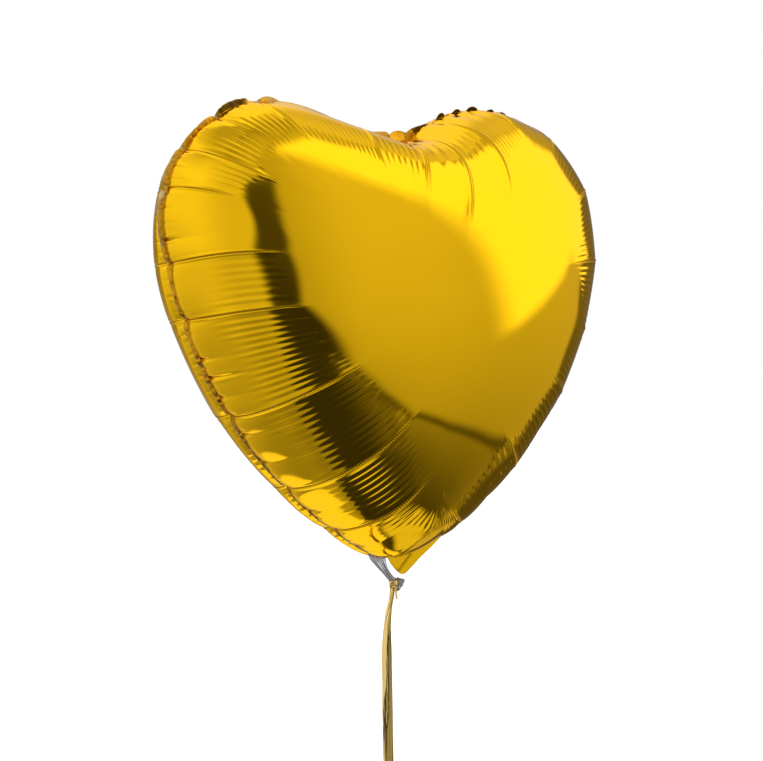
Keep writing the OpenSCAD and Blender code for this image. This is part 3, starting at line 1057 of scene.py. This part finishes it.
# the last value returned is the painted shade of the back's folds
rear_columns, rear_depth, rear_points, _, _, rear_crease_shade = shape_panel(rear_wrinkles, REAR_BELLY)
rear_panel = panel_mesh("rear_panel_film", rear_points, rear_columns, rear_depth, rear_crease_shade, True)


# ---------------------------------------------------------------- the heat-sealed border

# The border's width by place along the seam, in millimetres. It is wide where the heart's tip ends in a tab
# beside the neck, and in the notch. It is narrow where the neck leaves it and over each lobe's inner half.
SEAM_WIDTHS = [(-540, 9.2), (-534, 7.6), (-528, 5.8), (-520, 3.2), (-512, 1.2), (-452, 1.0), (-428, 1.6),
               (-426, 3.6), (-385, 4.4), (-345, 4.2), (-315, 3.5), (-170, 3.2), (-140, 2.3), (-24, 2.3),
               (-19, 1.3), (-5, 1.3), (-3, 4.6), (0, 9.7), (3, 14.4), (6, 15.6), (9, 14.2), (12, 13.1),
               (17, 11.8), (25, 9.9), (33, 8.5), (45, 6.5), (60, 4.6), (90, 3.5), (320, 3.5), (345, 1.2),
               (425, 0.8), (496, 0.8), (504, 2.8), (512, 5.4), (520, 7.6), (528, 9), (540, 9.2)]
# half the border's thickness, and where the tab begins on its left and fades out on its right
SEAM_HALF_THICK = 0.12 * MM
TAB_LEFT = (-4, -1)
TAB_RIGHT = (45, 75)
# Where the border widens into a small cup, darkened inside by painted shade: place, half length, extra width
# in millimetres, and how dark the painted shade inside is.
CUPS = [(-441, 10, 2.6, 0.1), (-414, 14, 1.8, 0.9), (431, 4, 1.5, 1.0), (442, 4.5, 1.8, 1.0),
        (457, 5.5, 2.8, 1.0), (471, 4.5, 2.6, 1.0), (485, 4.5, 3.6, 1.0), (504, 9, 0.6, 0.75)]
# a painted shade line across the flat tab, standing for a fold: places along the seam, and how far out
# across the tab the line is there
TAB_SHADE_LINE = [(1, 1.0), (3, 0.8), (6, 0.58), (12, 0.43), (15, 0.36)]
# the rows of points across the border, by share of its width; the first lies inside the panels' edge
SEAM_SHARES = np.concatenate([[-0.3], np.linspace(0.04, 0.96, 13), [1.0]])
# in degrees, how far the border leans forward over the lobes
LOBE_LEAN = 26


def make_seam():
    """Both films fused in a flat strip outside the seam, scalloped between the tucks and folded at them."""
    inner = rim.copy()
    inner[:, 1] = 0
    gore, across = front_wrinkles.gore(columns)
    from_tuck = np.minimum(across, 1 - across) * front_wrinkles.spans[gore]
    random = np.random.default_rng(31)
    wave = np.zeros(COLUMNS)
    for pitch in (11, 17, 29):
        turns = round(front_wrinkles.around / pitch)
        phase = columns / front_wrinkles.around * 2 * np.pi * turns
        wave += random.uniform(0.3, 0.6) * np.sin(phase + random.uniform(0, 6))
    swing = random.uniform(-1, 1, len(front_wrinkles.places))[gore] * np.sin(np.pi * across)
    fold = bump(from_tuck, 1.5) * np.where(across < 0.5, 1.0, -1.0)
    nicks = np.zeros(COLUMNS)
    for place, length, deep in front_wrinkles.pleats:
        nicks += deep * bump(from_place(front_wrinkles, columns, place), 1.1) * (length > 10)
    tab = smoothstep(columns, *TAB_LEFT) * (1 - smoothstep(columns, *TAB_RIGHT))
    smooth = np.maximum(tab, smoothstep(np.abs(columns), 500, 515))
    width = np.interp(columns, *zip(*SEAM_WIDTHS))
    width *= 1 + (0.05 * wave - 0.25 * bump(from_tuck, 1.5) - 0.07 * nicks) * (1 - smooth)
    # how dark each cup's painted shade makes the border inside it
    inside = np.zeros(COLUMNS)
    for place, half, extra, dark in CUPS:
        cup = np.maximum(1 - (from_place(front_wrinkles, columns, place) / half) ** 2, 0)
        width += extra * cup
        inside = np.maximum(inside, dark * np.minimum(2 * cup, 1))
    forward = LOBE_LEAN * smoothstep(seam_out[:, 2], 0.15, 0.8)
    forward += (12 * swing + 4 * wave + 24 * fold + 7 * nicks) * (1 - smooth)
    angle = np.radians(forward) * (1 - tab)
    across_strip = seam_out * np.cos(angle)[:, None] + np.array([0, -1, 0]) * np.sin(angle)[:, None]
    rows = [inner + across_strip * (width * share * MM)[:, None] for share in SEAM_SHARES]
    thick = np.array([0, SEAM_HALF_THICK, 0])
    shells = [row - thick for row in rows] + [row + thick for row in rows[::-1]]
    faces = []
    for ring in range(len(shells)):
        faces += ring_faces(ring * COLUMNS, (ring + 1) % len(shells) * COLUMNS, COLUMNS)
    film = np.tile(tab > 0.12, len(shells)).astype(int)
    piece = build_mesh("edge_seam_film", np.concatenate(shells), faces, [SEAM, GOLD], film)
    add_uv(piece.data, "film", np.zeros((len(shells) * COLUMNS, 2)))
    shares = SEAM_SHARES[:, None]
    # painted shade: inside the cups, and a thin dark line across the tab
    crease_shade = inside * smoothstep(shares, 0.0, 0.15) * (1 - smoothstep(shares, 0.85, 1.0))
    shade_line_at = np.interp(columns, *zip(*TAB_SHADE_LINE))
    crease_shade = np.maximum(crease_shade, (tab > 0.5) * (columns < 16) * bump((shares - shade_line_at) * width, 0.95))
    add_float(piece.data, "crease_shade", np.concatenate([crease_shade, crease_shade[::-1]]))
    return piece


edge_seam = make_seam()


# ---------------------------------------------------------------- riding and replacing

for piece, body, node, slot in [
        (front_panel, "balloon", "front_panel", "gold_foil"),
        (rear_panel, "balloon", "rear_panel", "gold_foil"),
        (edge_seam, "balloon", "edge_seam", "seam_border"),
        (neck_front, "balloon", "neck_front_film", "silver_film"),
        (neck_rear, "balloon", "neck_rear_film", "silver_film"),
        (neck_tail, "balloon", "neck_tail", "silver_film"),
        (valve_front, "balloon", "valve_front_film", "valve_film"),
        (valve_rear, "balloon", "valve_rear_film", "valve_film"),
        (wraps, "balloon", "ribbon_wraps", "gold_ribbon"),
        (ribbon_knot, "knot", "ribbon_knot", "gold_ribbon"),
        (short_end, "knot", "ribbon_short_end", "gold_ribbon"),
        (ribbon, "ribbon", "ribbon", "gold_ribbon"),
        (loop_knot, "loop", "loop_knot", "gold_ribbon"),
        (hand_loop, "loop", "hand_loop", "gold_ribbon")]:
    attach(piece, body)
    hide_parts(node)


# ---------------------------------------------------------------- floor, world and lights

# The studio that the foil mirrors. Directions are in degrees: azimuth 0 in front of the heart and 90 on
# its right, elevation 0 level. Each wall's radiance by elevation, from straight down to straight up.
FRONT_WALL = [(-90, 0.06), (-60, 0.06), (-47, 0.12), (-38, 0.22), (-33.6, 0.27), (-32.7, 0.07),
              (-31.9, 0.07), (-30, 0.44), (-20, 0.52), (-10, 0.6), (0, 0.66), (20, 0.71), (50, 0.73),
              (66, 0.66), (90, 0.5)]
LEFT_WALL = [(-90, 0.5), (-65, 0.3), (-55, 0.34), (-45, 0.43), (-35, 0.5), (-25, 0.6), (-15, 0.73),
             (0, 0.82), (15, 0.97), (28, 0.95), (42, 1.08), (56, 0.78), (70, 0.5), (90, 0.5)]
RIGHT_WALL = [(-90, 0.1), (-30, 0.09), (-15, 0.12), (-5, 0.16), (15, 0.2), (25, 0.44), (35, 0.53),
              (45, 0.73), (65, 0.85), (90, 0.9)]
BACKDROP = [(-90, 1.05), (-50, 1.0), (-36, 0.75), (-20, 0.45), (0, 0.3), (12, 0.4), (24, 0.9), (40, 1.12),
            (90, 1.15)]
DARK_GAP = [(-90, 0.05), (-40, 0.035), (-15, 0.035), (0, 0.06), (30, 0.075), (90, 0.1)]
# How the front and left walls dim by azimuth: from, to, and the factor at each.
FRONT_FADES = [(-26, 8, 0.74, 1.06), (20, 60, 1.0, 0.86)]
LEFT_FADE = (-80, -48, 1.0, 0.76)
# Where each wall stands by azimuth, and how soft its ends are. The backdrop and the dark stretch of horizon
# at the far left lie outside their ranges, round the back.
RIGHT_SPAN = (100, 170, 4)
LEFT_FROM = -168
BACKDROP_OUTSIDE = (-164, 140, 8)
FAR_LEFT_OUTSIDE = (-150, 172, 8)
FAR_LEFT_RISE = (-14, 20, 6)
FAR_LEFT_RADIANCE = 0.33
# The key light: its left edge, its right edge in two parts, its lower edge in two parts, and its elevations.
# Each edge is a pair of directions and how soft it is.
KEY_LEFT = ((0, 58), (52, -10), 7.0)
KEY_RIGHT = ((120, 24), (92, 62), 2.5)
KEY_FAR_RIGHT = ((108, -20), (108, 30), 3.0)
KEY_LOW = [((50, -9), (86, 6), 1.8), ((85, 7), (112, 0), 2.0)]
KEY_RISE = (-40, 74, 5)
KEY_RADIANCE = 1.42
# The gap in front of the camera, between the left wall and the front wall, and the dark floor below it.
GAP = (-37.5, -21.5)
GAP_RISE = (-80, 44, 4)
SHADE_EDGE = ((10, -31), (-24, -3), 4.0)
SHADE_FADES = [(-42, -22), (24, 0)]
SHADE_RADIANCE = 0.035
# The shade's right part is lighter, and darkest again right at its edge. By degrees inside that edge.
SHADE_STEPS = [(0, 0.08), (3, 0.09), (7, 0.2), (16, 0.2), (30, 0.05)]
SHADE_RIGHT = (-17, 3)
SHADE_RIGHT_RISE = (-44, -32)
# The bright floor behind and beside the heart: each patch's middle, half width, softness and radiance.
FLOOR_GLOWS = [((122, -41), 9, 3, 0.62), ((104, -52), 7, 4, 0.62), ((178, -66), 24, 2, 1.08),
               ((68, -69), 9.5, 3, 0.8)]


def direction(azimuth, elevation):
    turn, rise = math.radians(azimuth), math.radians(elevation)
    return Vector((math.sin(turn) * math.cos(rise), -math.cos(turn) * math.cos(rise), math.sin(rise)))


class Studio(NodeTree):
    """The world's shader: walls, a key light and a dark gap, mixed one over another."""

    def __init__(self, tree):
        super().__init__(tree)
        self.way = self.node("ShaderNodeTexCoord").outputs["Generated"]
        x, y, z = self.node("ShaderNodeSeparateXYZ", {0: self.way}).outputs
        self.azimuth = self.math("DEGREES", self.math("ARCTAN2", x, self.math("MULTIPLY", y, -1.0)))
        self.elevation = self.math("DEGREES", self.math("ARCSINE", z))

    def by_steps(self, value, stops):
        """Radiance by a value from 0 to 1."""
        ramp = self.node("ShaderNodeValToRGB", {"Fac": value})
        elements = ramp.color_ramp.elements
        for index, (place, radiance) in enumerate(stops):
            element = elements[index] if index < 2 else elements.new(place)
            element.position = place
            element.color = (radiance, radiance, radiance, 1)
        return ramp.outputs["Color"]

    def by_elevation(self, stops):
        share = self.math("DIVIDE", self.math("ADD", self.elevation, 90.0), 180.0)
        return self.by_steps(share, [((rise + 90) / 180, radiance) for rise, radiance in stops])

    def between(self, value, low, high, soft):
        rising = self.soft_range(value, low - soft, low + soft)
        return self.math("MULTIPLY", rising, self.soft_range(value, high + soft, high - soft))

    def fades(self, value, ranges):
        return [self.soft_range(value, *each) for each in ranges]

    def along(self, way):
        dot = self.node("ShaderNodeVectorMath", {0: self.way, 1: way}, operation="DOT_PRODUCT")
        return dot.outputs["Value"]

    def past(self, first, second):
        """How far right of the line from the first direction to the second, as the sine of the angle."""
        return self.along(direction(*first).cross(direction(*second)).normalized())

    def beyond(self, first, second, soft):
        """1 on the right of the line from the first direction to the second, 0 on its left."""
        edge = math.sin(math.radians(soft))
        return self.soft_range(self.past(first, second), -edge, edge)

    def over(self, below, above, mask):
        return self.node("ShaderNodeMix", {0: mask, 2: below, 3: above}).outputs[0]

    def product(self, *masks):
        total = masks[0]
        for mask in masks[1:]:
            total = self.math("MULTIPLY", total, mask)
        return total


def make_world():
    world = bpy.data.worlds.new("studio")
    bpy.context.scene.world = world
    world.use_nodes = True
    studio = Studio(world.node_tree)
    azimuth, elevation = studio.azimuth, studio.elevation
    light = studio.product(studio.by_elevation(FRONT_WALL), *studio.fades(azimuth, FRONT_FADES))
    light = studio.over(light, studio.by_elevation(RIGHT_WALL), studio.between(azimuth, *RIGHT_SPAN))
    key_low = studio.math("MAXIMUM", studio.beyond(*KEY_LOW[0]), studio.beyond(*KEY_LOW[1]))
    key = studio.product(studio.beyond(*KEY_LEFT), studio.beyond(*KEY_RIGHT), studio.beyond(*KEY_FAR_RIGHT),
                         key_low, studio.between(elevation, *KEY_RISE))
    light = studio.over(light, KEY_RADIANCE, key)
    left = studio.product(studio.by_elevation(LEFT_WALL), studio.soft_range(azimuth, *LEFT_FADE))
    light = studio.over(light, left, studio.between(azimuth, LEFT_FROM, GAP[0] - 1, 3))
    far_left = studio.math("SUBTRACT", 1.0, studio.between(azimuth, *FAR_LEFT_OUTSIDE))
    far_left = studio.product(far_left, studio.between(elevation, *FAR_LEFT_RISE))
    light = studio.over(light, FAR_LEFT_RADIANCE, far_left)
    behind = studio.math("SUBTRACT", 1.0, studio.between(azimuth, *BACKDROP_OUTSIDE))
    light = studio.over(light, studio.by_elevation(BACKDROP), behind)
    gap = studio.product(studio.between(azimuth, *GAP, 2.6), studio.between(elevation, *GAP_RISE))
    light = studio.over(light, studio.by_elevation(DARK_GAP), gap)
    shade = studio.product(studio.beyond(*SHADE_EDGE), *studio.fades(azimuth, SHADE_FADES))
    steps = [(math.sin(math.radians(inside)), radiance) for inside, radiance in SHADE_STEPS]
    lighter = studio.by_steps(studio.past(*SHADE_EDGE[:2]), steps)
    right_part = studio.product(studio.soft_range(azimuth, *SHADE_RIGHT),
                                studio.soft_range(elevation, *SHADE_RIGHT_RISE))
    light = studio.over(light, studio.over(SHADE_RADIANCE, lighter, right_part), shade)
    for middle, half, soft, radiance in FLOOR_GLOWS:
        edges = [math.cos(math.radians(half + more)) for more in (soft, -soft)]
        patch = studio.soft_range(studio.along(direction(*middle)), *edges)
        light = studio.over(light, radiance, patch)
    seen = studio.node("ShaderNodeLightPath").outputs["Is Camera Ray"]
    light = studio.over(light, 1.0, seen)
    backdrop = studio.node("ShaderNodeBackground", {"Color": (1, 1, 1, 1), "Strength": light})
    studio.node("ShaderNodeOutputWorld", {"Surface": backdrop.outputs[0]})


FLOOR_SIZE = 30.0
FLOOR_BELOW = 0.35


def make_floor():
    """A plain pale floor, well below the ribbon's loop."""
    size, height = FLOOR_SIZE, cad_box[0][2] - FLOOR_BELOW
    material, nodes = new_material("floor")
    finish_material(nodes, {"Base Color": (1, 1, 1, 1), "Roughness": 0.9, "Emission Color": (1, 1, 1, 1),
                            "Emission Strength": 0.75})
    corners = [(-size, -size, height), (size, -size, height), (size, size, height), (-size, size, height)]
    floor = build_mesh("floor", corners, [(0, 1, 2, 3)], [material], smooth=False)
    floor.visible_glossy = False
    floor.visible_diffuse = False


make_world()
make_floor()
bpy.context.scene.view_settings.view_transform = "Standard"
